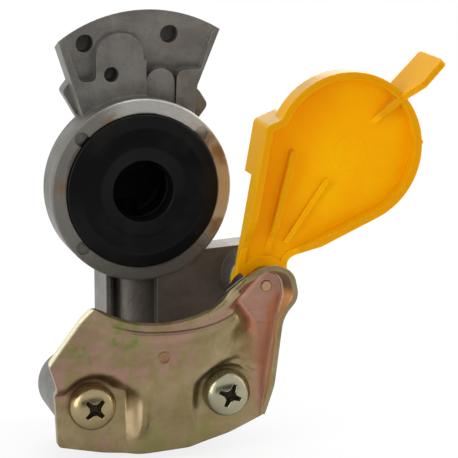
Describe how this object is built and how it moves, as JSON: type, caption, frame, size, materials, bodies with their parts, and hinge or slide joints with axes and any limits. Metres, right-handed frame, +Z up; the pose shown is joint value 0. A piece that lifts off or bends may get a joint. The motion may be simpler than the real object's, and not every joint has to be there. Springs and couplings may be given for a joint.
{
  "type": "gladhand air brake coupler",
  "caption": "Palm-type air brake coupling head: cast body with ring, guide fan and threaded port, rubber face seal, pressed claw plate and a hinged dust cover.",
  "frame": {"origin": "on the seal's axis, in the plane of the ring's front face", "axes": "-Y out of the coupling face towards the mating head, +Z up, +X to the right seen from the front"},
  "size_m": [0.1022, 0.0464, 0.1108],
  "materials": {
    "cast_aluminium": "as cast, ring face machined",
    "seal_rubber": "satin",
    "zinc_sheet": "yellow chromate zinc plating",
    "zinc_screw": "yellow chromate zinc plating",
    "cover_plastic": "translucent amber-yellow moulding",
    "pin_steel": "bright steel"
  },
  "bodies": {
    "head": {"body_casting": "cast_aluminium", "face_seal": "seal_rubber", "claw_plate": "zinc_sheet", "plate_screw_left": "zinc_screw", "plate_screw_right": "zinc_screw", "pivot_pin": "pin_steel", "disc_spring": "pin_steel"},
    "cover": {"cover": "cover_plastic"}
  },
  "joints": [
    {"name": "cover_swing", "type": "hinge", "parent": "head", "child": "cover", "pos_m": [0.0286, 0, -0.0236], "axis": [0, -1, 0], "range_deg": [0, 82.5]}
  ]
}
